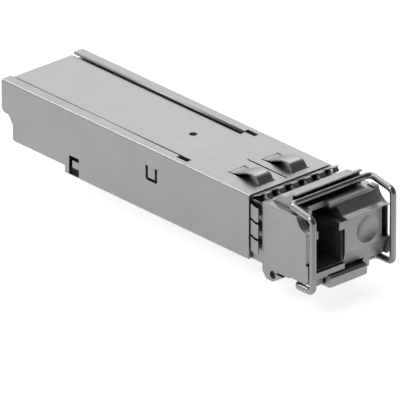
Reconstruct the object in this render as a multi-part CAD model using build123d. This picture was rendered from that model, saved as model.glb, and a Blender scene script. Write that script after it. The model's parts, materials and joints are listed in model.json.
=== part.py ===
from build123d import *
from math import cos, degrees, pi, radians, sin, tan
import os

os.makedirs("parts", exist_ok=True)

# Small pluggable optical transceiver with one duplex-style port, a blank half
# and a wire bail that works a rocker latch under the nose.
# Frame: +X is the port end, +Y the left-hand side seen from the port, +Z up.
# The origin is the latch shoulder on the centre line of the bottom face.

# Overall sizes
width = 13.4
height = 8.5
shell_length = 45.0
sheet = 0.3
fit_gap = 0.04
seat_gap = 0.02
edge_round = 0.24
tiny = 1e-6
half = width / 2
inner_half = half - sheet - fit_gap

# Rear side outline of the shell
rear_lip_z = 4.1
rear_lip_length = 1.3
rear_lip_round = 0.9
rear_step_x = 2.05
rear_step_round = 0.35
rear_foot_z = 0.9
rear_step_rise = 1.1
rear_corner_radius = 0.4
foot_length = 11.6
rear_inset = 0.15

# Openings of the shell
rail_width = 1.4
rail_length = 31.3
relief_length = 1.6
relief_width = 0.75
relief_inset = 0.85
relief_depth = 1.9
window_offset = 0.8
window_length = 1.8
window_low = 0.1
window_high = 2.55
window_x = -shell_length + foot_length + window_offset
tab_slit_x = -18.65
tab_slit_width = 2.1
tab_slit_low = 4.15
tab_slit_high = 6.1
tab_slit_line = 0.42
tab_slit_round = 0.5
tab_room = 0.5
tab_room_margin = 0.15
centre_slit_end = 0.7
centre_slit_length = 7.0
centre_slit_line = 0.24
centre_slit_y = 0.1

# Bowed contact strips on the shell
strip_x = -6.7
strip_length = 5.7
strip_width = 2.3
strip_offset = 2.72
strip_rise = 1.0
strip_slit = 0.2
strip_sheet = 0.2
strip_root = 0.25

# Contact finger collar
finger_sheet = 0.12
top_fingers = 6
side_fingers = 3
finger_end_gap = 0.25
finger_slot = 0.3
finger_pitch = (width - 2 * finger_end_gap) / top_fingers
finger_width = finger_pitch - finger_slot
finger_reach = 2.42
finger_rise = 0.66
finger_tip_width = 0.9
finger_tip_length = 0.62
side_finger_reach = 2.1
side_finger_rise = 0.42
collar_length = 1.6
collar_low = 0.25
side_finger_low = 1.2
side_finger_high = 7.74
side_finger_pitch = (side_finger_high - side_finger_low) / side_fingers

# Cast housing
neck_end = 2.45
wall = 0.8
floor_thickness = 0.8
floor_rear = -34.6
deck_drop = 1.2
deck_z = height - deck_drop
neck_inset = 0.5
ledge_length = 2.4
ledge_width = 0.6
ledge_from_end = 9.5
ledge_from_front = 3.0

# Snap wedge in each side window
snap_proud = 0.26
snap_low = 1.05
snap_high = 2.0
snap_lead = 0.5
snap_room = 0.45

# Cover plate under the rails
cover_flange = 0.2
cover_top_gap = 0.02
rail_gap = 0.5
rib_width = 0.4
cover_hole_x = -18.02
cover_hole_y = 0.5
cover_hole_radius = 0.49

# Nose
nose_top = height + 0.05
nose_front = 10.6
nose_toe_x = 0.45
nose_toe_z = 0.55
notch_depth = 0.4
notch_low = 2.7
notch_high = 6.87
groove_depth = 1.0
groove_width = 0.6
face_x = 10.2
face_low = 2.36
face_chamfer = 0.6
face_round = 0.5
visor_top_x = 8.5
visor_top_z = 8.23
visor_bend_x = 9.78
visor_bend_z = 7.14
visor_bend_radius = 0.7
visor_front_z = 7.06
visor_lip = 0.3
side_wall = 0.8
cheek_rear = 7.4
cheek_z = 8.7
cheek_slope = 0.2
scoop_radius = 2.15
scoop_centre_z = 9.03
nose_rise = 0.2
nose_rise_x = 7.2
blank_back_wall = 1.2
blank_side_wall = 1.35

# Raised hood on the nose
hood_end_inset = 1.42
hood_half = half - hood_end_inset
hood_draft = 0.5
hood_start = 3.0
hood_foot_x = 3.35
hood_foot_rise = 0.2
hood_shoulder_x = 4.1
hood_shoulder_z = 9.65
hood_waist_x = 5.4
hood_waist_z = 9.8
hood_crest_x = 6.5
hood_lip_x = 7.0
hood_lip_z = 10.62
hood_lip_low = 10.43
hood_front = 6.45
hood_round = 0.5

# Block under the bail's cross bar, in front of the hood
brow_half = 4.78
brow_rear_z = 9.03
brow_front_z = 8.74

# Blank dimple
dimple_y = 3.35
dimple_z = 4.5
dimple_radius = 1.8
dimple_depth = 0.42

# Port
port_width = 4.6
port_side_wall = 1.1
insert_wall = 0.3
port_y = port_side_wall + insert_wall + port_width / 2 - half
port_outer = port_width / 2 + insert_wall
pocket_half = port_outer + fit_gap
port_low = 1.15
port_top = 8.1
shoulder_low = 5.65
shoulder_high = 6.65
shoulder_gap = 3.4
shoulder_rear = 5.0
latch_slot_low_y = -4.2
latch_slot_high_y = -1.37
latch_slot_rear = 7.7
insert_front = 9.9
insert_rear = 2.9
insert_back = 0.6
insert_floor = 0.25
insert_hole_clearance = 0.06

# Optical train
optic_z = 3.45
ferrule_bore = 0.63
sleeve_wall = 0.18
barrel_radius = 1.3
barrel_front = 5.0
barrel_rear = -4.8
barrel_hole_clearance = 0.15
barrel_lip = 0.28
light_path_radius = 0.4
sleeve_length = 5.6
sleeve_slit = 0.12
stub_length = 2.6
block_rear = -9.4
block_half = 2.2
block_bore_depth = 0.8
block_light_radius = 0.7
block_round = 0.3
can_radius = 2.05
can_length = 2.6
can_flange_radius = 2.4
can_flange = 0.6
can_edge = 0.15
can_leg_radius = 0.2
can_leg_length = 0.9
can_leg_circle = 1.1
receiver_length = 2.2
flex_sheet = 0.15
flex_width = 3.6
flex_overlap = 1.8
flex_foot = 2.4
flex_standoff = 0.4

# Circuit board
board_rear = -41.8
board_front = -14.4
board_z = 2.25
board_thickness = 1.0
board_side_gap = 0.11
tongue_step = 0.85
tongue_end = -33.2
tongue_lead_in = 0.3
board_notch_radius = 0.6
board_notch_x = -20.9
pad_inset = 0.5
pad_length = 3.4
pad_thickness = 0.04
pad_width = 0.5
pad_pitch = 0.8
pads_per_side = 10

# Chips and capacitors on the board
chip_height = 0.8
chip_standoff = 0.08
chip_edge = 0.12
lead_width = 0.24
lead_height = 0.25
lead_reach = 0.45
driver_x = -19.6
driver_y = -0.6
driver_size = 4.6
driver_leads = 7
controller_x = -28.4
controller_y = 2.6
controller_size = 3.6
controller_leads = 6
memory_x = -23.0
memory_y = -1.2
memory_length = 3.0
memory_width = 2.4
memory_height = 0.7
memory_leads = 4
capacitor_x = -31.6
capacitor_y = -4.4
capacitor_length = 1.0
capacitor_width = 0.5
capacitor_height = 0.45
capacitor_pitch_x = 1.5
capacitor_pitch_y = 0.95
capacitor_stagger = 3.4
capacitor_rows = 4
filter_x = -24.4
filter_y = 1.6
filter_width = 0.6
filter_rows = 3

# Latch
pin_x = 4.3
pin_z = -0.55
pin_radius = 0.5
pin_clearance = 0.06
knuckle_radius = 0.86
arm_thickness = 0.9
arm_low = 0.3
arm_half = 1.35
arm_rear = -2.6
arm_bend_x = 2.2
arm_knee_x = 3.5
arm_knee_z = -0.6
arm_root_z = 0.2
arm_slope_x = 1.7
boss_drop = 0.45
boss_ramp = 0.9
boss_width = 2.6
lever_half = 2.92
lever_front = 10.6
lever_low = -1.4
lever_front_top = 0.2
lever_pocket_rear = 7.2
lever_pocket_front = 9.5
lever_bevel = 0.3
lever_heel = 0.6
lever_web_low = -1.05
lever_side_gap = 0.25
lever_roof_gap = 0.2
cavity_rear = -3.3
cavity_half = 1.7
cavity_top = 2.2
cavity_roof = 0.35
cavity_wall = 0.3
recess_top = 0.85
pin_recess = 0.4
hook_width = 0.75
hook_rear = 2.45
hook_front = 6.1
hook_low = -1.45
hook_slope_z = -0.6
hook_slope_x = 0.75
hook_mouth = 0.3
hook_root = 0.3

# Return spring on the pin
spring_wire = 0.12
spring_radius = 0.76
spring_pitch = 0.34
spring_turns = 4.5
spring_facets = 12
spring_sides = 6
spring_side_gap = 0.4
spring_leg_x = 6.3
spring_leg_share = 0.94
spring_hold = 0.45
spring_swing = 0.26
spring_pocket = 0.3

# Bail
wire = 0.85
wire_sides = 20
bail_inset = 0.2
bail_half = half - bail_inset
bail_x = 8.3
bail_z = -0.55
leg_x = 11.25
arm_front_z = 8.98
crossbar_x = 7.2
crossbar_z = 9.71
bend_radius = 0.75
cam_reach = 0.84
cam_thickness = 0.55
cam_tip_radius = 0.12
bail_bearing_clearance = 0.05
bearing_width = 1.1
bearing_side_gap = 0.3
bearing_low = -1.38
bearing_half_x = 1.15
bearing_shoulder = -0.9
bearing_toe = 0.6

tray_half = inner_half - wall
board_width = 2 * (tray_half - board_side_gap)
tongue_width = board_width - 2 * tongue_step
board_top = board_z + board_thickness
middle = half - side_wall
face_left = port_y + pocket_half
visor_slope = (visor_bend_z - visor_top_z) / (visor_bend_x - visor_top_x)
wire_radius = wire / 2


def block(x0, x1, y0, y1, z0, z1):
    centre = ((x0 + x1) / 2, (y0 + y1) / 2, (z0 + z1) / 2)
    return Pos(*centre) * Box(x1 - x0, y1 - y0, z1 - z0)


def side_profile(points, y0, y1):
    """Extrude an outline given as (x, z) points from y0 to y1."""
    plane = Plane(origin=(0, y1, 0), x_dir=(1, 0, 0), z_dir=(0, -1, 0))
    return extrude(plane * make_face(Polyline(*points, close=True)), y1 - y0)


def end_profile(points, x0, x1):
    """Extrude an outline given as (y, z) points from x0 to x1."""
    plane = Plane(origin=(x0, 0, 0), x_dir=(0, 1, 0), z_dir=(1, 0, 0))
    return extrude(plane * make_face(Polyline(*points, close=True)), x1 - x0)


def rod_x(y, z, radius, x0, x1):
    plane = Plane(origin=(x0, y, z), x_dir=(0, 1, 0), z_dir=(1, 0, 0))
    return extrude(plane * Circle(radius), x1 - x0)


def rod_y(x, z, radius, y0, y1):
    plane = Plane(origin=(x, y1, z), x_dir=(1, 0, 0), z_dir=(0, -1, 0))
    return extrude(plane * Circle(radius), y1 - y0)


def rod_z(x, y, radius, z0, z1):
    return extrude(Plane(origin=(x, y, z0)) * Circle(radius), z1 - z0)


def mirrored(shape):
    return shape + mirror(shape, about=Plane.XZ)


def ribbon(points, thickness):
    """Closed outline of a thin bent sheet whose outer side follows the points."""
    inner = []
    for i, here in enumerate(points):
        before = points[max(i - 1, 0)]
        after = points[min(i + 1, len(points) - 1)]
        along = Vector(after[0] - before[0], after[1] - before[1], 0).normalized()
        inner.append((here[0] + along.Y * thickness, here[1] - along.X * thickness))
    return list(points) + inner[::-1]


def bent(points, radii):
    """Line through the points, each inner corner rounded by its own radius."""
    pieces = []
    start = Vector(*points[0])
    for i in range(1, len(points) - 1):
        corner = Vector(*points[i])
        into = (corner - Vector(*points[i - 1])).normalized()
        away = (Vector(*points[i + 1]) - corner).normalized()
        turn = radians(into.get_angle(away))
        radius = radii[i - 1]
        trim = radius * tan(turn / 2)
        entry = corner - into * trim
        leave = corner + away * trim
        if (entry - start).length > tiny:
            pieces.append(Line(start, entry))
        if radius:
            inward = (away - into).normalized()
            middle_point = corner + inward * (radius / cos(turn / 2) - radius)
            pieces.append(ThreePointArc(entry, middle_point, leave))
        start = leave
    pieces.append(Line(start, Vector(*points[-1])))
    return pieces


def soft_profile(points, radii, y0, y1):
    """Extrude a closed (x, z) outline from y0 to y1; all corners but the first can be round."""
    plane = Plane(origin=(0, y1, 0), x_dir=(1, 0, 0), z_dir=(0, -1, 0))
    return extrude(plane * make_face(bent(list(points) + [points[0]], radii)), y1 - y0)


def strip_profile(outer, thickness, y0, y1):
    """Bent sheet from y0 to y1 whose outer side is a smooth line through (x, z) points."""
    outline = ribbon(outer, thickness)
    count = len(outer)
    edges = [Spline(*outline[:count]), Line(outline[count - 1], outline[count]),
             Spline(*outline[count:]), Line(outline[-1], outline[0])]
    plane = Plane(origin=(0, y1, 0), x_dir=(1, 0, 0), z_dir=(0, -1, 0))
    return extrude(plane * make_face(edges), y1 - y0)


def save(shape, name):
    shape.label = name
    export_step(shape, f"parts/{name}.step")


# Outline of the rear end, shared by shell and housing

def rear_cut(inset, y_reach):
    """What the stepped rear end removes, moved forward and up by inset."""
    rear = -shell_length
    step_top = rear_lip_z + inset
    step_low = step_top - rear_step_rise
    foot = rear_foot_z + inset
    step_x = rear + rear_step_x + inset
    lip_x = rear + inset
    outline = [
        (rear - foot_length, -height),
        (rear - foot_length, height / 2 + rear_lip_round), (lip_x, height / 2 + rear_lip_round),
        (lip_x, step_top), (lip_x + rear_lip_length, step_top), (step_x, step_low),
        (step_x, foot), (rear + foot_length, foot), (rear + foot_length, -height),
    ]
    radii = [0, 0, rear_lip_round, rear_step_round, rear_step_round, rear_corner_radius, 0, 0]
    return soft_profile(outline, radii, -y_reach, y_reach)


# Outer shell: one folded sheet with two rails, slits and two bowed strips

def bowed_strip(y):
    crest = height + strip_rise
    outer = [
        (strip_x, height),
        (strip_x + 0.18 * strip_length, height + 0.1 * strip_rise),
        (strip_x + 0.45 * strip_length, height + 0.72 * strip_rise),
        (strip_x + 0.6 * strip_length, crest - 0.04),
        (strip_x + 0.74 * strip_length, crest),
        (strip_x + 0.86 * strip_length, crest - 0.22),
        (strip_x + 0.95 * strip_length, height + 0.25 * strip_rise),
        (strip_x + strip_length, height),
    ]
    strip = strip_profile(outer, strip_sheet, y - strip_width / 2, y + strip_width / 2)
    for x, away in ((strip_x, -1), (strip_x + strip_length, 1)):
        low, high = sorted((x - away * strip_root / 2, x + away * strip_root))
        strip += block(low, high, y - strip_width / 2, y + strip_width / 2,
                       height - sheet, height)
    return strip


def outer_shell():
    rear = -shell_length
    inside = half - sheet
    body = block(rear, 0, -half, half, 0, height)
    long_edges = body.edges().filter_by(Axis.X).group_by(Axis.Z)[-1]
    body = fillet(long_edges, edge_round)
    body -= block(rear - 1, 1, -inside, inside, -1, height - sheet)
    body -= rear_cut(0, width)
    rail_inner = half - rail_width
    body -= block(rear - 1, rear + rail_length, -rail_inner, rail_inner, height / 2, height + 1)
    relief_y = half - relief_inset
    relief = block(rear + rail_length - sheet, rear + rail_length + relief_length,
                   relief_y - relief_width, relief_y, height / 2, height + 1)
    window = block(window_x, window_x + window_length, inside - 1, half + 1,
                   window_low, window_high)
    body -= mirrored(relief) + mirrored(window)
    slit_x1 = tab_slit_x + tab_slit_width
    tab_slit = soft_profile(
        [(tab_slit_x, tab_slit_high), (tab_slit_x, tab_slit_low), (slit_x1, tab_slit_low),
         (slit_x1, tab_slit_high)], [tab_slit_round, tab_slit_round / 2, 0], inside - 1, half + 1)
    tab_slit -= block(tab_slit_x + tab_slit_line, slit_x1 - tab_slit_line, inside - 2, half + 2,
                      tab_slit_low + tab_slit_line, height)
    body -= mirrored(tab_slit)
    body -= block(-centre_slit_end - centre_slit_length, -centre_slit_end,
                  centre_slit_y - centre_slit_line / 2, centre_slit_y + centre_slit_line / 2,
                  height / 2, height + 1)
    opening_half = strip_width / 2 + strip_slit
    for y in (-strip_offset, strip_offset):
        body -= block(strip_x, strip_x + strip_length, y - opening_half, y + opening_half,
                      height / 2, height + 1)
        body += bowed_strip(y)
    return body


save(outer_shell(), "outer_shell")


# Collar of spring fingers between shell and nose

def finger(reach, rise, tip_drop):
    """Outer side of one finger as (x, height above the shell) points, its band under the shell."""
    band = -(sheet + seat_gap)
    return [
        (-collar_length, band), (-collar_length / 2, band), (0.06, band),
        (0.36, 0.0), (0.48 * reach, 0.55 * rise), (0.72 * reach, 0.93 * rise),
        (0.86 * reach, rise), (reach, rise - tip_drop),
    ]


def finger_collar():
    inner = half - sheet - seat_gap
    lip = inner - finger_sheet
    roof = height - sheet - seat_gap
    band_outer = [(-inner, collar_low), (-inner, roof), (inner, roof), (inner, collar_low)]
    band_inner = [(lip, collar_low), (lip, roof - finger_sheet),
                  (-lip, roof - finger_sheet), (-lip, collar_low)]
    collar = end_profile(band_outer + band_inner, -collar_length, seat_gap)
    behind = block(-collar_length - 1, 0, -width, width, -1, 2 * height)
    top = [(x, z + height) for x, z in finger(finger_reach, finger_rise, 0.75 * finger_rise)]
    shoulder = (finger_width - finger_tip_width) / 2
    for i in range(top_fingers):
        y = (i - (top_fingers - 1) / 2) * finger_pitch
        low, high = y - finger_width / 2, y + finger_width / 2
        piece = side_profile(ribbon(top, finger_sheet), low, high) - behind
        tip = finger_reach - finger_tip_length
        for side_low, side_high in ((low - 1, low + shoulder), (high - shoulder, high + 1)):
            piece -= block(tip, finger_reach + 1, side_low, side_high, 0, 2 * height)
        collar += piece
    side = ribbon(finger(side_finger_reach, side_finger_rise, 0.06), finger_sheet)
    for i in range(side_fingers):
        z = side_finger_low + (i + 0.5) * side_finger_pitch
        outline = [(x, r + half) for x, r in side]
        plane = Plane(origin=(0, 0, z - finger_width / 2))
        piece = extrude(plane * make_face(Polyline(*outline, close=True)), finger_width)
        collar += mirrored(piece - behind)
    return collar


save(finger_collar(), "finger_collar")


# Cast housing: tray, neck and nose in one piece

def nose_body():
    nose = side_profile([
        (neck_end, 0), (nose_rise_x, 0), (nose_rise_x + nose_rise, nose_rise),
        (nose_front - nose_toe_x, nose_rise), (nose_front, nose_rise + nose_toe_z),
        (nose_front, nose_top), (neck_end, nose_top),
    ], -half, half)
    top_edges = nose.edges().filter_by(Axis.X).group_by(Axis.Z)[-1]
    nose = fillet(top_edges, edge_round)
    nose -= block(face_x, nose_front + 1, -middle, middle, -1, height + 1)
    # sloping visor over the blank half
    ahead = nose_front + 1
    slope = [(visor_top_x, visor_top_z), (visor_bend_x, visor_bend_z), (nose_front, visor_front_z)]
    nose -= soft_profile(
        [(ahead, nose_top + 1), (visor_top_x, nose_top + 1)] + slope + [(ahead, visor_front_z)],
        [0, 0, visor_bend_radius, 0, 0], -middle, middle)
    under = visor_front_z - visor_lip
    nose += soft_profile(
        [(visor_top_x, under)] + slope + [(nose_front, under)],
        [0, visor_bend_radius, 0, visor_lip / 3], face_left, middle)
    # raised cheeks beside the cross bar
    cheek = side_profile([
        (cheek_rear - cheek_slope, height - 1), (cheek_rear - cheek_slope, nose_top),
        (cheek_rear, cheek_z), (visor_top_x, cheek_z), (visor_top_x, height - 1),
    ], middle, half)
    nose += mirrored(cheek)
    # concave scoops that clear the bail arms
    nose -= mirrored(rod_y(nose_front, scoop_centre_z, scoop_radius, middle, half + 1))
    # slot in the front edge of each side plate, deeper on its inner side
    nose -= mirrored(block(nose_front - notch_depth, ahead, middle - 1, half + 1,
                           notch_low, notch_high))
    groove = make_face(bent([
        (ahead, middle - 1), (face_x, middle - 1), (face_x, middle),
        (face_x - groove_depth, middle), (face_x - groove_depth, middle + groove_width),
        (ahead, middle + groove_width), (ahead, middle - 1),
    ], [0, face_round, 0, 0, 0]))
    nose -= extrude(Plane(origin=(0, 0, notch_low)) * groove,
                    visor_front_z - visor_lip - notch_low)
    # lower chamfer of the blank face
    nose -= side_profile([(ahead, face_low), (face_x, face_low),
                          (face_x - face_chamfer, nose_rise), (ahead, nose_rise - 1)],
                         face_left, middle + groove_width)
    return nose


def hood():
    """Raised hood with a lip over the cross bar and drafted ends."""
    shape = soft_profile([
        (hood_start, height - 0.5), (hood_start, nose_top),
        (hood_foot_x, nose_top + hood_foot_rise), (hood_shoulder_x, hood_shoulder_z),
        (hood_waist_x, hood_waist_z), (hood_crest_x, hood_lip_z), (hood_lip_x, hood_lip_z),
        (hood_lip_x, hood_lip_low), (hood_front, hood_lip_low - 0.1), (hood_front, height - 0.5),
    ], [0, 0, hood_round, hood_round, hood_round / 2, 0, 0, 0, 0], -width, width)
    low, high = height - 1, hood_lip_z + 0.5
    ends = end_profile([
        (-hood_half - hood_draft, low), (-hood_half, high), (hood_half, high),
        (hood_half + hood_draft, low),
    ], 0, nose_front)
    brow = side_profile([
        (hood_shoulder_x, height - 1), (hood_shoulder_x, brow_rear_z), (hood_front, brow_rear_z),
        (visor_top_x, brow_front_z), (visor_top_x, visor_top_z),
        (hood_front, height - 1),
    ], -brow_half, brow_half)
    return (shape & ends) + brow


def hook_lugs():
    outline = [
        (hook_rear, hook_root), (hook_rear, hook_slope_z),
        (hook_rear + hook_slope_x, hook_low), (pin_x, hook_low),
        (hook_front - hook_slope_x / 2, hook_slope_z), (hook_front, -hook_mouth),
        (hook_front, hook_root),
    ]
    radii = [0, hook_slope_x / 2, hook_slope_x / 2, 0, 0, 0]
    lug = soft_profile(outline, radii, half - hook_width, half)
    lug -= rod_y(pin_x, pin_z, pin_radius + seat_gap, half - hook_width - 1, half + 1)
    lug -= block(pin_x, hook_front + 1, half - hook_width - 1, half + 1, -hook_mouth, 0)
    return mirrored(lug)


def bail_bearings():
    inside = lever_half + bearing_side_gap
    root = nose_rise + hook_root
    outline = [
        (bail_x - bearing_half_x, root), (bail_x - bearing_half_x, bearing_shoulder),
        (bail_x - bearing_toe, bearing_low), (bail_x + bearing_toe, bearing_low),
        (bail_x + bearing_half_x, bearing_shoulder), (bail_x + bearing_half_x, root),
    ]
    bearing = side_profile(outline, inside, inside + bearing_width)
    bearing -= rod_y(bail_x, bail_z, wire_radius + bail_bearing_clearance,
                     inside - 1, inside + bearing_width + 1)
    return mirrored(bearing)


def relief_pocket():
    """Clear space under the notches at the front ends of the rails."""
    front = -shell_length + rail_length
    return mirrored(block(front, front + relief_length - sheet,
                          half - relief_inset - relief_width, half - relief_inset,
                          height - relief_depth, height + 1))


def snap_wedge():
    """Wedge that fills the middle of a side window, with a sloping rear lead-in."""
    x0, x1 = window_x + fit_gap, window_x + window_length - fit_gap
    root = inner_half - snap_room - fit_gap
    proud = inner_half + snap_proud
    outline = [(x0, root), (x1, root), (x1, proud), (x0 + snap_lead, proud)]
    plane = Plane(origin=(0, 0, snap_low))
    return extrude(plane * make_face(Polyline(*outline, close=True)), snap_high - snap_low)


def tray():
    rear = -shell_length
    deck = deck_z - seat_gap
    body = block(rear, -collar_length - 0.1, -inner_half, inner_half, 0, deck)
    neck_half = half - neck_inset
    body += block(-collar_length - 0.1, neck_end, -neck_half, neck_half, 0, height - neck_inset)
    body -= block(rear - 1, -collar_length - wall, -tray_half, tray_half, floor_thickness, height)
    body -= block(rear - 1, floor_rear, -tray_half, tray_half, -1, height)
    body -= rear_cut(rear_inset, width)
    # ledges under the circuit board
    for x in (board_rear + ledge_from_end, board_front - ledge_from_front):
        ledge = block(x, x + ledge_length, tray_half - ledge_width, tray_half + fit_gap,
                      floor_thickness - fit_gap, board_z - seat_gap)
        body += mirrored(ledge)
    # room behind the spring tabs and the side windows
    room = block(tab_slit_x - tab_room_margin, tab_slit_x + tab_slit_width + tab_room_margin,
                 inner_half - tab_room, inner_half + 1,
                 tab_slit_low - tab_room_margin, tab_slit_high + tab_room_margin)
    room += block(window_x, window_x + window_length, inner_half - snap_room, inner_half + 1,
                  rear_foot_z + rear_inset, window_high)
    return body - mirrored(room) - relief_pocket() + mirrored(snap_wedge())


def cast_housing():
    barrel_hole = barrel_radius + barrel_hole_clearance
    body = tray() + nose_body() + hood() + hook_lugs() + bail_bearings()
    # pocket behind the blank face
    body -= block(-collar_length - 1.5, face_x - blank_back_wall, face_left + wall,
                  half - blank_side_wall, recess_top + 0.6, height - deck_drop)
    # port pocket, open to the front, with two shoulders for the plug's latch
    side0, side1 = port_y - pocket_half, port_y + pocket_half
    floor = port_low - fit_gap
    body -= block(insert_rear, nose_front + 1, side0, side1, floor, shoulder_low)
    body -= block(insert_rear, shoulder_rear, side0, side1, floor, port_top)
    body -= block(insert_rear, nose_front + 1, port_y - shoulder_gap / 2,
                  port_y + shoulder_gap / 2, floor, port_top)
    body -= block(insert_rear, nose_front + 1, side0, side1, shoulder_high, port_top)
    body -= block(latch_slot_rear, nose_front + 1, latch_slot_low_y, latch_slot_high_y,
                  port_top - 1, hood_shoulder_z)
    # latch cavity: narrow at the arm, wide under the nose
    body += block(cavity_rear - cavity_wall, neck_end, -cavity_half - cavity_wall,
                  cavity_half + cavity_wall, 0, cavity_top + cavity_roof)
    body -= rod_x(port_y, optic_z, barrel_hole, cavity_rear - 1, insert_rear + 1)
    body -= block(cavity_rear, neck_end + 0.6, -cavity_half, cavity_half, -1, cavity_top)
    wide = lever_half + lever_side_gap
    body -= block(neck_end, nose_front + 1, -wide, wide, -height,
                  lever_front_top + lever_roof_gap)
    body -= block(neck_end, lever_pocket_front + lever_roof_gap, -wide, wide, -1, recess_top)
    # room for the return spring
    coil_end = lever_half + spring_side_gap + spring_turns * spring_pitch
    reach = spring_radius + spring_wire + spring_pocket
    body -= block(pin_x - reach, pin_x + reach, lever_half, coil_end + spring_pocket,
                  -1, pin_z + reach)
    # dished dimple in the blank face
    ball = (dimple_radius ** 2 + dimple_depth ** 2) / (2 * dimple_depth)
    dish = Pos(face_x - dimple_depth + ball, dimple_y, dimple_z) * Sphere(ball)
    return body - (dish & block(face_x - 1, face_x, 0, half, 0, height))


save(cast_housing(), "cast_housing")


# Flat cover under the rails

def inner_cover():
    """Plate with a raised centre between the rails and a rib under each rail."""
    rear, front = -shell_length, -collar_length - rear_inset
    top = height - sheet - cover_top_gap
    centre_half = half - rail_width - rail_gap
    cover = block(rear, front, -inner_half, inner_half, deck_z, deck_z + cover_flange)
    cover += block(rear, front, -centre_half, centre_half, deck_z, top)
    cover += mirrored(block(rear + rib_width, front, inner_half - rib_width, inner_half,
                            deck_z, top))
    cover -= rod_z(cover_hole_x, cover_hole_y, cover_hole_radius, 0, height + 1)
    return cover - relief_pocket()


save(inner_cover(), "inner_cover")


# Port insert: an open-topped tray with a high back wall

def port_insert():
    body = block(insert_rear, insert_front, port_y - port_outer, port_y + port_outer,
                 port_low, shoulder_low - fit_gap)
    back = insert_rear + insert_back
    body += block(insert_rear, back, port_y - port_outer, port_y + port_outer,
                  port_low, port_top - fit_gap)
    opening = port_width / 2
    body -= block(back, insert_front + 1, port_y - opening, port_y + opening,
                  port_low + insert_floor, shoulder_low)
    body -= rod_x(port_y, optic_z, barrel_radius + insert_hole_clearance, 0, back + 1)
    return body


save(port_insert(), "port_insert")


# Optical train in line with the port

sleeve_outer = ferrule_bore + sleeve_wall
sleeve_front = barrel_front - barrel_lip
sleeve_rear = sleeve_front - sleeve_length


def receptacle_barrel():
    barrel = rod_x(port_y, optic_z, barrel_radius, barrel_rear, barrel_front)
    barrel -= rod_x(port_y, optic_z, sleeve_outer + seat_gap, sleeve_rear - seat_gap,
                    sleeve_front + seat_gap)
    barrel -= rod_x(port_y, optic_z, ferrule_bore + seat_gap, sleeve_front, barrel_front + 1)
    return barrel - rod_x(port_y, optic_z, light_path_radius, barrel_rear - 1, barrel_front)


def split_sleeve():
    sleeve = rod_x(port_y, optic_z, sleeve_outer, sleeve_rear, sleeve_front)
    sleeve -= rod_x(port_y, optic_z, ferrule_bore, sleeve_rear - 1, sleeve_front + 1)
    return sleeve - block(sleeve_rear - 1, sleeve_front + 1, port_y - sleeve_slit / 2,
                          port_y + sleeve_slit / 2, optic_z, optic_z + barrel_radius)


save(receptacle_barrel(), "receptacle_barrel")
save(split_sleeve(), "split_sleeve")
save(rod_x(port_y, optic_z, ferrule_bore - seat_gap / 2, sleeve_rear, sleeve_rear + stub_length),
     "fibre_stub")

block_front = barrel_rear + block_bore_depth
receiver_x = (block_rear + barrel_rear) / 2


def optical_block():
    body = block(block_rear, block_front, port_y - block_half, port_y + block_half,
                 optic_z - block_half, optic_z + block_half)
    body = fillet(body.edges().filter_by(Axis.X), block_round)
    body -= rod_x(port_y, optic_z, barrel_radius + seat_gap, barrel_rear - seat_gap,
                  block_front + 1)
    body -= rod_x(port_y, optic_z, block_light_radius, block_rear - 1, block_front)
    return body - rod_y(receiver_x, optic_z, block_light_radius, port_y,
                        port_y + block_half + 1)


save(optical_block(), "optical_block")


def can(length):
    """Flanged can standing on the block, axis along +X, with four leads."""
    flange = length - can_flange
    outline = [
        (0, 0), (0, can_radius - can_edge), (can_edge, can_radius), (flange, can_radius),
        (flange, can_flange_radius), (length, can_flange_radius), (length, 0),
    ]
    body = revolve(make_face(Polyline(*outline, close=True)), Axis.X)
    for turn in range(4):
        angle = radians(45 + 90 * turn)
        foot = (length - can_edge, cos(angle) * can_leg_circle, sin(angle) * can_leg_circle)
        section = Plane(origin=foot, z_dir=(1, 0, 0)) * RegularPolygon(can_leg_radius, spring_sides)
        body += extrude(section, can_leg_length)
    return body


laser_can = Pos(block_rear - seat_gap, port_y, optic_z) * (Rot(0, 0, 180) * can(can_length))
save(laser_can, "laser_can")

receiver_can = Pos(receiver_x, port_y + block_half + seat_gap, optic_z) * (
    Rot(0, 0, 90) * can(receiver_length))
save(receiver_can, "receiver_can")


# Flexible circuits from the cans to the board

def laser_flex():
    x = block_rear - seat_gap - can_length - flex_standoff
    foot = board_top + flex_sheet + seat_gap
    outer = [
        (x, optic_z + flex_width / 2), (x, foot + 0.75), (x - 0.35, foot + 0.3),
        (x - 1.2, foot), (board_front - flex_overlap, foot),
    ]
    strip = side_profile(ribbon(outer[::-1], flex_sheet), port_y - flex_width / 2,
                         port_y + flex_width / 2)
    return strip - laser_can


save(laser_flex(), "laser_flex")


def receiver_flex():
    y = port_y + block_half + seat_gap + receiver_length + flex_standoff
    plate_half = flex_width / 2
    rear, foot = board_front - flex_overlap, board_top + seat_gap
    plate = block(receiver_x - plate_half, receiver_x + plate_half, y, y + flex_sheet,
                  optic_z - plate_half, optic_z + plate_half)
    strap = block(rear, receiver_x - plate_half, y, y + flex_sheet,
                  foot, foot + flex_width / 2)
    tab = block(rear, board_front - fit_gap, y, y + flex_foot, foot, foot + flex_sheet)
    return (plate + strap + tab) - receiver_can


save(receiver_flex(), "receiver_flex")


# Circuit board, edge contacts and components

def circuit_board():
    board = block(tongue_end, board_front, -board_width / 2, board_width / 2, board_z, board_top)
    tongue = block(board_rear, tongue_end + 1, -tongue_width / 2, tongue_width / 2,
                   board_z, board_top)
    lead_in = tongue.edges().filter_by(Axis.Y).group_by(Axis.X)[0]
    board += chamfer(lead_in, tongue_lead_in)
    notch = rod_z(board_notch_x, board_width / 2, board_notch_radius, 0, height)
    return board - mirrored(notch)


save(circuit_board(), "circuit_board")


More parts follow.
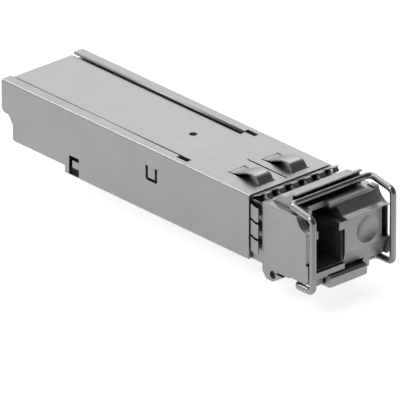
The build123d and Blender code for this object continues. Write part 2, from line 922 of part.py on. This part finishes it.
def contact_pads(z):
    pads = []
    for i in range(pads_per_side):
        y = (i - (pads_per_side - 1) / 2) * pad_pitch
        pads.append(block(board_rear + pad_inset, board_rear + pad_inset + pad_length,
                          y - pad_width / 2, y + pad_width / 2, z, z + pad_thickness))
    return Compound(children=pads)


save(contact_pads(board_top), "contact_pads_top")
save(contact_pads(board_z - pad_thickness), "contact_pads_bottom")


def leaded_chip(x, y, length, across, tall, leads, z):
    """Chip with leads on two sides; its feet stand on z."""
    body = Pos(x, y, z + chip_standoff + tall / 2) * Box(length, across, tall)
    body = chamfer(body.edges().filter_by(Plane.XY).group_by(Axis.Z)[-1], chip_edge)
    for i in range(leads):
        along = x + (i - (leads - 1) / 2) * length / leads
        body += block(along - lead_width / 2, along + lead_width / 2,
                      y - across / 2 - lead_reach, y + across / 2 + lead_reach,
                      z, z + lead_height)
    return body


def chip(x, y, size, leads):
    return leaded_chip(x, y, size, size, chip_height, leads, board_top)


save(chip(driver_x, driver_y, driver_size, driver_leads), "driver_chip")
save(chip(controller_x, controller_y, controller_size, controller_leads), "controller_chip")
memory = leaded_chip(memory_x, memory_y, memory_length, memory_width, memory_height,
                     memory_leads, 0)
save(Pos(0, 0, board_z - seat_gap) * mirror(memory, about=Plane.XY), "memory_chip")


def chip_capacitors():
    parts = []
    for column in range(capacitor_rows):
        for row in range(capacitor_rows):
            x = capacitor_x + column * capacitor_pitch_x + capacitor_stagger * (row % 2)
            y = capacitor_y + row * capacitor_pitch_y
            parts.append(block(x, x + capacitor_length, y, y + capacitor_width,
                               board_top, board_top + capacitor_height))
    for row in range(filter_rows):
        y = filter_y + row
        parts.append(block(filter_x, filter_x + capacitor_length, y, y + filter_width,
                           board_top, board_top + capacitor_height))
    return Compound(children=parts)


save(chip_capacitors(), "chip_capacitors")


# Latch lever, its pin and its return spring

def latch_lever():
    arm_top = arm_low + arm_thickness
    arm = side_profile([
        (arm_rear, arm_low), (arm_rear + boss_ramp, -boss_drop), (0, -boss_drop), (0, arm_low),
        (arm_bend_x, arm_low), (arm_knee_x, arm_knee_z), (pin_x, arm_knee_z),
        (pin_x, arm_root_z), (arm_knee_x, arm_root_z + lever_bevel / 6), (arm_slope_x, arm_top),
        (arm_rear, arm_top),
    ], -arm_half, arm_half)
    beside_boss = block(arm_rear - 1, seat_gap / 2, boss_width / 2, width, -1, arm_low)
    arm -= mirrored(beside_boss)
    web = side_profile([
        (pin_x, pin_z - pin_radius), (lever_pocket_rear, lever_web_low),
        (lever_pocket_rear, lever_front_top), (pin_x, arm_root_z),
    ], -lever_half, lever_half)
    heel = lever_pocket_rear - lever_heel
    front = side_profile([
        (heel, lever_low + lever_bevel), (heel + lever_heel, lever_low),
        (nose_front - lever_bevel, lever_low), (nose_front, lever_low + lever_bevel),
        (nose_front, lever_front_top - lever_bevel), (nose_front - lever_bevel, lever_front_top),
        (heel, lever_front_top),
    ], -lever_half, lever_half)
    knuckle = rod_y(pin_x, pin_z, knuckle_radius, -lever_half, lever_half)
    lever = arm + web + front + knuckle
    # pockets whose floors the bail's cams press down
    cam_side = lever_half - cam_thickness - bearing_side_gap / 2
    shoulder = bail_z - wire_radius - bail_bearing_clearance
    lever -= mirrored(block(lever_pocket_rear, lever_pocket_front, cam_side, lever_half + 1,
                            shoulder, height))
    lever -= rod_y(pin_x, pin_z, pin_radius + pin_clearance, -width, width)
    return lever - rod_y(spring_leg_x, pin_z, spring_wire + seat_gap,
                         lever_half - spring_hold - seat_gap, width)


save(latch_lever(), "latch_lever")
save(rod_y(pin_x, pin_z, pin_radius, pin_recess - half, half - pin_recess), "lever_pin")


def straight_rod(start, end, radius):
    along = Vector(*end) - Vector(*start)
    section = Plane(origin=start, z_dir=along) * RegularPolygon(radius, spring_sides)
    return extrude(section, along.length)


def return_spring():
    """Torsion spring on the pin: one leg in the lever, one under the neck."""
    near = lever_half + spring_side_gap
    far = near + spring_turns * spring_pitch
    steps = round(spring_turns * spring_facets)
    path = []
    for i in range(steps + 1):
        angle = 2 * pi * i / spring_facets
        path.append((pin_x + spring_radius * cos(angle), near + i * spring_pitch / spring_facets,
                     pin_z + spring_radius * sin(angle)))
    route = Polyline(*path)
    section = Plane(origin=route @ 0, z_dir=route % 0) * RegularPolygon(spring_wire, spring_sides)
    coil = sweep(section, path=route, transition=Transition.RIGHT)
    leg = spring_wire * spring_leg_share
    elbow = (spring_leg_x, near, pin_z)
    spring = coil + straight_rod(path[0], elbow, leg)
    spring += straight_rod((spring_leg_x, near + leg, pin_z),
                           (spring_leg_x, lever_half - spring_hold, pin_z), leg)
    return spring + straight_rod(path[-1], (neck_end + spring_hold, far,
                                            -spring_wire - spring_swing), leg)


save(return_spring(), "return_spring")


# Wire bail with a cam formed on each inner end

def bent_rod(points, bend, radius, across):
    """Wire through the points, each inner corner bent to the same radius.

    Its section is a polygon of wire_sides, which keeps the bends light; across is a
    direction at right angles to the first straight."""
    section = RegularPolygon(radius, wire_sides)
    start = Vector(*points[0])
    pieces = []
    for i in range(1, len(points)):
        corner = Vector(*points[i])
        into = (corner - Vector(*points[i - 1])).normalized()
        if i == len(points) - 1:
            pieces.append(extrude(Plane(start, across, into) * section, (corner - start).length))
            break
        away = (Vector(*points[i + 1]) - corner).normalized()
        turn = radians(into.get_angle(away))
        entry = corner - into * (bend * tan(turn / 2))
        hub = Axis(corner + (away - into).normalized() * (bend / cos(turn / 2)), into.cross(away))
        pieces.append(extrude(Plane(start, across, into) * section, (entry - start).length))
        pieces.append(revolve(Plane(entry, across, into) * section, hub, degrees(turn)))
        across = across.rotate(Axis((0, 0, 0), hub.direction), degrees(turn))
        start = corner + away * (bend * tan(turn / 2))
    return pieces[0].fuse(*pieces[1:])


def bail():
    inner_end = lever_half - cam_thickness
    half_loop = [
        (bail_x, -inner_end, bail_z), (bail_x, -bail_half, bail_z), (leg_x, -bail_half, bail_z),
        (leg_x, -bail_half, arm_front_z), (crossbar_x, -bail_half, crossbar_z),
    ]
    path = half_loop + [(x, -y, z) for x, y, z in reversed(half_loop)]
    lobe = make_hull([
        *Circle(wire_radius).edges(),
        *(Pos(cam_reach - cam_tip_radius, 0) * Circle(cam_tip_radius)).edges(),
    ])
    plane = Plane(origin=(bail_x, lever_half - seat_gap, bail_z), x_dir=(1, 0, 0),
                  z_dir=(0, -1, 0))
    cam = extrude(plane * lobe, cam_thickness - 2 * seat_gap)
    loop = bent_rod(path, bend_radius, wire_radius, Vector(1, 0, 0))
    return loop + mirrored(cam)


save(bail(), "bail")
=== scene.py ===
import bpy
import json
import math
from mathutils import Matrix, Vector


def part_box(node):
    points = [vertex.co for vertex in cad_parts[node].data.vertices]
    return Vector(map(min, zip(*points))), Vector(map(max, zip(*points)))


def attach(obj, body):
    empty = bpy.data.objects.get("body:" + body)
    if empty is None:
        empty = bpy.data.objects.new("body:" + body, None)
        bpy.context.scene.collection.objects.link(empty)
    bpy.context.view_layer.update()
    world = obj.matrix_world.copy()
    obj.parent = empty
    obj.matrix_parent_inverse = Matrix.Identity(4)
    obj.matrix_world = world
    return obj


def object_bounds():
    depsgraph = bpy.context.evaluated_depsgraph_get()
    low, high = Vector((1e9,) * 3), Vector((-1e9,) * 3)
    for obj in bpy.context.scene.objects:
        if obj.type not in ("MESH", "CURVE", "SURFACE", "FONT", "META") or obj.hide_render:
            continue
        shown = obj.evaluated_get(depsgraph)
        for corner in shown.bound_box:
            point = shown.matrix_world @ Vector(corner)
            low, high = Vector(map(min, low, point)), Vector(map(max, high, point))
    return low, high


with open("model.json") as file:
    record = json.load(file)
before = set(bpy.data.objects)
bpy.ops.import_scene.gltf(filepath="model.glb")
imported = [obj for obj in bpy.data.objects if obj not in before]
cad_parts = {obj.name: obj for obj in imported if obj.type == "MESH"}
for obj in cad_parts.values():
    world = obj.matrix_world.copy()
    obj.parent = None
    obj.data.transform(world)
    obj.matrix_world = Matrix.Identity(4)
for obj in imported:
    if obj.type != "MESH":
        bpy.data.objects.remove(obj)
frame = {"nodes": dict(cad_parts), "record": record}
cad_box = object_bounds()
mm = 0.001


# Camera and lamps are placed by an azimuth and an elevation in degrees
def direction(azimuth, elevation):
    """Unit vector from the part; azimuth 0 is its near side and 90 its port end."""
    a, e = math.radians(azimuth), math.radians(elevation)
    return Vector((math.sin(a) * math.cos(e), -math.cos(a) * math.cos(e), math.sin(e)))


def aimed(name, data, target, way, distance):
    """Adds a camera or lamp at a distance from a target, looking back at it."""
    thing = bpy.data.objects.new(name, data)
    thing.location = target + way * distance
    thing.rotation_mode = "QUATERNION"
    thing.rotation_quaternion = (-way).to_track_quat("-Z", "Y")
    bpy.context.collection.objects.link(thing)
    return thing


# Camera: a very long lens, so the view is almost parallel
view_azimuth, view_elevation = 48.07, 25.13
view_target = Vector((-2.92 * mm, -11.96 * mm, 8.52 * mm))
view_distance = 2267.5 * mm
lens, sensor = 1700.0, 36.0
clip_near, clip_far = 0.1, 20.0
camera = bpy.data.cameras.new("camera")
camera.lens, camera.sensor_width = lens, sensor
camera.clip_start, camera.clip_end = clip_near, clip_far
scene = bpy.context.scene
scene.camera = aimed("camera", camera, view_target, direction(view_azimuth, view_elevation),
                     view_distance)
scene.view_settings.view_transform = "Standard"


# Shared parts of the materials
noise_low, noise_high = 0.3, 0.7
bump_strength = 0.4


def tree(name):
    material = bpy.data.materials.new(name)
    material.use_nodes = True
    nodes, links = material.node_tree.nodes, material.node_tree.links
    return material, nodes, links, nodes["Principled BSDF"]


def noise(nodes, links, scale, stretch=(1, 1, 1), detail=4.0):
    """Noise in the frame's own metres; stretch above 1 packs it closer along an axis."""
    place = nodes.new("ShaderNodeTexCoord")
    mapping = nodes.new("ShaderNodeMapping")
    mapping.inputs["Scale"].default_value = stretch
    links.new(place.outputs["Object"], mapping.inputs["Vector"])
    texture = nodes.new("ShaderNodeTexNoise")
    texture.inputs["Scale"].default_value = scale
    texture.inputs["Detail"].default_value = detail
    links.new(mapping.outputs["Vector"], texture.inputs["Vector"])
    return texture.outputs["Fac"]


def ranged(nodes, links, source, from_low, from_high, to_low, to_high):
    """Turns a value between two limits into one between two others."""
    node = nodes.new("ShaderNodeMapRange")
    node.inputs["From Min"].default_value = from_low
    node.inputs["From Max"].default_value = from_high
    node.inputs["To Min"].default_value = to_low
    node.inputs["To Max"].default_value = to_high
    links.new(source, node.inputs["Value"])
    return node.outputs["Result"]


def tint(nodes, links, source, colour, vary):
    """Turns noise into a colour that is darker or lighter by a share."""
    ramp = nodes.new("ShaderNodeValToRGB")
    ramp.color_ramp.elements[0].position = noise_low
    ramp.color_ramp.elements[1].position = noise_high
    ramp.color_ramp.elements[0].color = (*scaled(colour, 1 - vary), 1)
    ramp.color_ramp.elements[1].color = (*scaled(colour, 1 + vary), 1)
    links.new(source, ramp.inputs["Fac"])
    return ramp.outputs["Color"]


def bump(nodes, links, source, shader, height):
    node = nodes.new("ShaderNodeBump")
    node.inputs["Strength"].default_value = bump_strength
    node.inputs["Distance"].default_value = height
    links.new(source, node.inputs["Height"])
    links.new(node.outputs["Normal"], shader.inputs["Normal"])


def scaled(colour, factor):
    return tuple(min(1.0, c * factor) for c in colour)


def leaning(nodes, links, coordinates, main, other, share):
    """One coordinate plus a share of another."""
    split = nodes.new("ShaderNodeSeparateXYZ")
    links.new(coordinates, split.inputs[0])
    total = nodes.new("ShaderNodeMath")
    total.operation = "MULTIPLY_ADD"
    total.inputs[1].default_value = share
    links.new(split.outputs[other], total.inputs[0])
    links.new(split.outputs[main], total.inputs[2])
    return total.outputs["Value"]


# Painted shade in gaps and corners: how far a wall shades, which share of open sky counts as shut and
# as open, and how dark a shut corner is painted
crease_reach, crease_samples = 0.7 * mm, 12
crease_shut, crease_open = 0.25, 0.8
crease_tone = 0.06


def painted_crease_shade(nodes, links, colour):
    """Paints shade into a colour in gaps and corners, darker where walls shut off more of the open
    sky.
    """
    near = nodes.new("ShaderNodeAmbientOcclusion")
    near.samples = crease_samples
    near.inputs["Distance"].default_value = crease_reach
    tone = ranged(nodes, links, near.outputs["AO"], crease_shut, crease_open, crease_tone, 1.0)
    mixed = nodes.new("ShaderNodeVectorMath")
    mixed.operation = "SCALE"
    links.new(colour, mixed.inputs[0])
    links.new(tone, mixed.inputs["Scale"])
    return mixed.outputs["Vector"]


# Tone clouds, and how far the roughness varies below and above its own value
cloud_detail = 3
metal_cloud, plastic_cloud = 260, 320
metal_gloss, plastic_gloss = (-0.03, 0.04), (-0.06, 0.08)


def uneven(nodes, links, shader, source, rough, gloss):
    """Lets the grain vary the roughness."""
    links.new(ranged(nodes, links, source, noise_low, noise_high, rough + gloss[0], rough + gloss[1]),
              shader.inputs["Roughness"])


def metal(name, colour, rough, vary=0.05, grain=2500, stretch=(1, 1, 1), height=0.004 * mm,
          crease_shade_painted=True):
    """Bare metal: cloudy tone, grain in its gloss, a fine grain in its surface and, unless turned
    off, painted shade in gaps and corners.
    """
    material, nodes, links, shader = tree(name)
    cloud = noise(nodes, links, metal_cloud, detail=cloud_detail)
    grains = noise(nodes, links, grain, stretch=stretch)
    tone = tint(nodes, links, cloud, colour, vary)
    links.new(painted_crease_shade(nodes, links, tone) if crease_shade_painted else tone, shader.inputs["Base Color"])
    uneven(nodes, links, shader, grains, rough, metal_gloss)
    shader.inputs["Metallic"].default_value = 1.0
    bump(nodes, links, grains, shader, height)
    return material


def moulded(name, colour, rough, vary=0.12, grain=3000, height=0.006 * mm):
    """Plastic, film, ceramic or board: cloudy tone and a fine grain."""
    material, nodes, links, shader = tree(name)
    cloud = noise(nodes, links, plastic_cloud, detail=cloud_detail)
    grains = noise(nodes, links, grain)
    links.new(tint(nodes, links, cloud, colour, vary), shader.inputs["Base Color"])
    uneven(nodes, links, shader, grains, rough, plastic_gloss)
    bump(nodes, links, grains, shader, height)
    return material


# Materials, one for each slot of the record, and two for the pieces added here
rolled = (0.06, 1, 1)
sheet_grain = 0.001 * mm
wire_grain = 0.0004 * mm
looks = {
    "shell_steel": metal("shell_steel", (0.355, 0.355, 0.36), 0.36, vary=0.025, stretch=rolled,
                         height=sheet_grain),
    # Lighter copy of shell_steel for the rails' rolled edges: a painted highlight
    "painted_highlight_steel": metal("painted_highlight_steel", (0.42, 0.42, 0.425), 0.42, vary=0.02, stretch=rolled,
                        height=sheet_grain, crease_shade_painted=False),
    "cover_zinc": metal("cover_zinc", (0.385, 0.385, 0.39), 0.4, vary=0.02, height=sheet_grain),
    "cast_zinc": metal("cast_zinc", (0.36, 0.36, 0.365), 0.4, vary=0.04, grain=1800),
    "spring_steel": metal("spring_steel", (0.34, 0.34, 0.345), 0.34),
    "lever_zinc": metal("lever_zinc", (0.43, 0.43, 0.435), 0.44, grain=1800),
    "pin_steel": metal("pin_steel", (0.5, 0.5, 0.505), 0.35),
    "barrel_steel": metal("barrel_steel", (0.5, 0.5, 0.505), 0.35),
    "block_steel": metal("block_steel", (0.5, 0.5, 0.505), 0.4),
    "bail_steel": metal("bail_steel", (0.345, 0.345, 0.35), 0.22, vary=0.03, grain=9000,
                        height=wire_grain),
    "can_gold": metal("can_gold", (0.75, 0.56, 0.26), 0.35),
    "contact_gold": metal("contact_gold", (0.83, 0.62, 0.26), 0.3),
    "black_plastic": moulded("black_plastic", (0.09, 0.09, 0.091), 0.3),
    # Near-black for the strips and plates that stand in for shade in grooves and gaps: painted shade
    "painted_shade_black": moulded("painted_shade_black", (0.008, 0.008, 0.0085), 0.8),
    "ceramic": moulded("ceramic", (0.82, 0.82, 0.79), 0.25, vary=0.03),
    "flex_film": moulded("flex_film", (0.55, 0.27, 0.06), 0.4),
    "board_green": moulded("board_green", (0.02, 0.13, 0.05), 0.4),
    "chip_black": moulded("chip_black", (0.02, 0.02, 0.022), 0.55),
    "capacitor_tan": moulded("capacitor_tan", (0.36, 0.26, 0.17), 0.5),
}
slot_of = {row["node"]: row["material_slot"] for row in frame["record"]["subparts"]}
for name, node in frame["nodes"].items():
    for slot in node.material_slots:
        slot.material = looks[slot_of[name]]


# Softened edges on the formed, cast and moulded pieces: a bevel in mm for each. The shell's is
# narrow, because a wide one tears the thin walls beside its side windows.
edge_widths = {"outer_shell": 0.04, "cast_housing": 0.08, "latch_lever": 0.1, "inner_cover": 0.05,
               "port_insert": 0.05}
unclamped = {"outer_shell"}
weld_distance = 1e-6
flat_angle = math.radians(1.0)
sharp_angle = math.radians(28.0)
bevel_segments = 2
large_face_weight = 100


def soften(name, width):
    node = frame["nodes"][name]
    weld = node.modifiers.new("weld", "WELD")
    weld.merge_threshold = weld_distance
    flat = node.modifiers.new("flat", "DECIMATE")
    flat.decimate_type = "DISSOLVE"
    flat.angle_limit = flat_angle
    edge = node.modifiers.new("edge", "BEVEL")
    edge.width, edge.segments = width, bevel_segments
    edge.limit_method, edge.angle_limit = "ANGLE", sharp_angle
    edge.use_clamp_overlap = name not in unclamped
    normals = node.modifiers.new("normals", "WEIGHTED_NORMAL")
    normals.keep_sharp = True
    normals.weight = large_face_weight


for name, width in edge_widths.items():
    soften(name, width * mm)


# Pieces added to the module, with their places in mm
def added(name, body, look, points, faces):
    """Mesh from points in mm, riding on a body."""
    mesh = bpy.data.meshes.new(name)
    mesh.from_pydata([(x * mm, y * mm, z * mm) for x, y, z in points], [], faces)
    piece = bpy.data.objects.new(name, mesh)
    bpy.context.collection.objects.link(piece)
    mesh.materials.append(looks[look])
    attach(piece, body)
    return mesh


def plate(name, body, look, low, high):
    """Thin box between two corners."""
    corners = [(x, y, z) for x in (low[0], high[0]) for y in (low[1], high[1])
               for z in (low[2], high[2])]
    added(name, body, look, corners, [(0, 1, 3, 2), (4, 6, 7, 5), (0, 4, 5, 1), (2, 3, 7, 6),
                                      (0, 2, 6, 4), (1, 5, 7, 3)])


def bead(name, body, look, x0, x1, y, z, radius, sides=16):
    """Smooth round bar along the length."""
    turns = [2 * math.pi * k / sides for k in range(sides)]
    ring = [(math.cos(a) * radius, math.sin(a) * radius) for a in turns]
    points = [(x, y + dy, z + dz) for x in (x0, x1) for dy, dz in ring]
    faces = [(k, (k + 1) % sides, sides + (k + 1) % sides, sides + k) for k in range(sides)]
    faces += [tuple(reversed(range(sides))), tuple(range(sides, 2 * sides))]
    for face in added(name, body, look, points, faces).polygons:
        face.use_smooth = len(face.vertices) == 4


# Near-black strips on the cover beside each rail, painted shade for the shadow down in the groove,
# the near one wider
shade_strip_rear, shade_strip_front = -44.6, -13.8
shade_strip_depth, shade_strip_proud = 0.02, 0.006
cover_top = max(corner.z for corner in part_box("inner_cover")) / mm
for name, inner, outer in (("seam_near", -4.79, -4.62), ("seam_far", 4.7, 4.79)):
    plate(name, "module", "painted_shade_black", (shade_strip_rear, inner, cover_top - shade_strip_depth),
          (shade_strip_front, outer, cover_top + shade_strip_proud))

# Near-black plates as painted shade in the gap under the wedge in each side window
gap_rear, gap_front = -32.56, -30.84
gap_inner, gap_outer = 6.35, 6.385
gap_low, gap_high = 0.16, 1.03
for name, side in (("window_gap_near", -1), ("window_gap_far", 1)):
    inner, outer = sorted((side * gap_inner, side * gap_outer))
    plate(name, "module", "painted_shade_black", (gap_rear, inner, gap_low), (gap_front, outer, gap_high))

# Rolled inner edge of each rail, lit by the edge lamp, in a lighter copy of the shell steel without
# painted crease shade, which adds a painted highlight
roll_rear, roll_front = -44.98, -13.75
roll_y, roll_z, roll_radius = 5.22, 8.31, 0.18
for name, side in (("rail_edge_near", -1), ("rail_edge_far", 1)):
    bead(name, "module", "painted_highlight_steel", roll_rear, roll_front, side * roll_y, roll_z, roll_radius)


# Floor: it lies low enough for the bail to swing down to its stop above it. The camera sees it
# white, and it keeps the part's shadow.
floor_grey, floor_pale, floor_rough = 0.6, 0.9, 0.9
floor_glow = 0.72
fade_glow = 0.35
fade_start, fade_end, fade_slant = 18 * mm, 30 * mm, -0.4


def either(nodes, links, first, second):
    node = nodes.new("ShaderNodeMath")
    node.operation = "MAXIMUM"
    links.new(first, node.inputs[0])
    links.new(second, node.inputs[1])
    return node.outputs["Value"]


def glow_strength(nodes, links, to_camera):
    """Even to the camera, and fading towards the port end to all other light."""
    place = nodes.new("ShaderNodeTexCoord")
    along = leaning(nodes, links, place.outputs["Object"], "X", "Y", fade_slant)
    fade = ranged(nodes, links, along, fade_start, fade_end, fade_glow, 0.0)
    glow = nodes.new("ShaderNodeMix")
    links.new(to_camera, glow.inputs["Factor"])
    links.new(fade, glow.inputs["A"])
    glow.inputs["B"].default_value = floor_glow
    return glow.outputs["Result"]


def floor_look():
    """Pale and glowing where it is seen or mirrored, and plain grey for the light it scatters."""
    material, nodes, links, shader = tree("floor")
    shader.inputs["Base Color"].default_value = (floor_grey, floor_grey, floor_grey, 1)
    shader.inputs["Roughness"].default_value = floor_rough
    shader.inputs["Specular IOR Level"].default_value = 0.0
    path = nodes.new("ShaderNodeLightPath")
    seen = path.outputs["Is Camera Ray"]
    for ray in ("Is Glossy Ray", "Is Transmission Ray"):
        seen = either(nodes, links, seen, path.outputs[ray])
    pale = nodes.new("ShaderNodeBsdfDiffuse")
    pale.inputs["Color"].default_value = (floor_pale, floor_pale, floor_pale, 1)
    glow = nodes.new("ShaderNodeEmission")
    links.new(glow_strength(nodes, links, path.outputs["Is Camera Ray"]), glow.inputs["Strength"])
    both = nodes.new("ShaderNodeAddShader")
    links.new(pale.outputs[0], both.inputs[0])
    links.new(glow.outputs[0], both.inputs[1])
    choose = nodes.new("ShaderNodeMixShader")
    links.new(seen, choose.inputs[0])
    links.new(shader.outputs[0], choose.inputs[1])
    links.new(both.outputs[0], choose.inputs[2])
    links.new(choose.outputs[0], nodes["Material Output"].inputs["Surface"])
    return material


joints = {joint["name"]: joint for joint in frame["record"]["behaviour"]["joints"]}
hinge_x, _, hinge_z = joints["bail_swing"]["pos_m"]
floor_gap = 0.05 * mm
floor_z = min(cad_box[0].z, hinge_z - (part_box("bail")[1].x - hinge_x)) - floor_gap
reach = 3.0
mesh = bpy.data.meshes.new("floor")
mesh.from_pydata([(x, y, floor_z) for x, y in ((-reach, -reach), (reach, -reach),
                                               (reach, reach), (-reach, reach))],
                 [], [(0, 1, 2, 3)])
floor = bpy.data.objects.new("floor", mesh)
bpy.context.collection.objects.link(floor)
mesh.materials.append(floor_look())


# Studio room: light low down and at the rear end, dim overhead and at the port end, and white
# where the camera sees past the floor
room_light, room_dim = (0.76, 0.76, 0.76, 1), (0.1, 0.1, 0.1, 1)
room_from, room_to, room_lean = 0.12, 0.8, 1.0
white = (1, 1, 1, 1)
world = bpy.data.worlds.new("studio")
world.use_nodes = True
scene.world = world
nodes, links = world.node_tree.nodes, world.node_tree.links
place = nodes.new("ShaderNodeTexCoord")
walls = nodes.new("ShaderNodeValToRGB")
stops = walls.color_ramp.elements
stops[0].position, stops[0].color = room_from, room_light
stops[1].position, stops[1].color = room_to, room_dim
links.new(leaning(nodes, links, place.outputs["Generated"], "Z", "X", room_lean),
          walls.inputs["Fac"])
path = nodes.new("ShaderNodeLightPath")
backdrop = nodes.new("ShaderNodeMix")
backdrop.data_type = "RGBA"
backdrop.inputs["B"].default_value = white
links.new(path.outputs["Is Camera Ray"], backdrop.inputs["Factor"])
links.new(walls.outputs["Color"], backdrop.inputs["A"])
links.new(backdrop.outputs["Result"], nodes["Background"].inputs["Color"])
nodes["Background"].inputs["Strength"].default_value = 1.0


# Large soft lamps
lamp_target = Vector((-15 * mm, 0, 4 * mm))


def lamp(name, azimuth, elevation, size, distance, radiance):
    """Square soft lamp aimed at the part; radiance is what it shows to a mirror."""
    data = bpy.data.lights.new(name, "AREA")
    data.size = size
    data.energy = radiance * math.pi * size * size
    aimed(name, data, lamp_target, direction(azimuth, elevation), distance)


# Azimuth and elevation in degrees, size and distance in metres, and radiance. The crest lamp
# lights the strips, the key lamp the bail's arms and the edge lamp the rails.
lamp("top", 300, 75, 0.4, 0.6, 1.2)
lamp("back", 230, 26, 0.5, 0.9, 0.72)
lamp("crest", 215, 46, 0.2, 0.7, 2.6)
lamp("key", -3, 47, 0.18, 0.6, 5.2)
lamp("edge", -84, 48, 0.17, 0.6, 8.5)
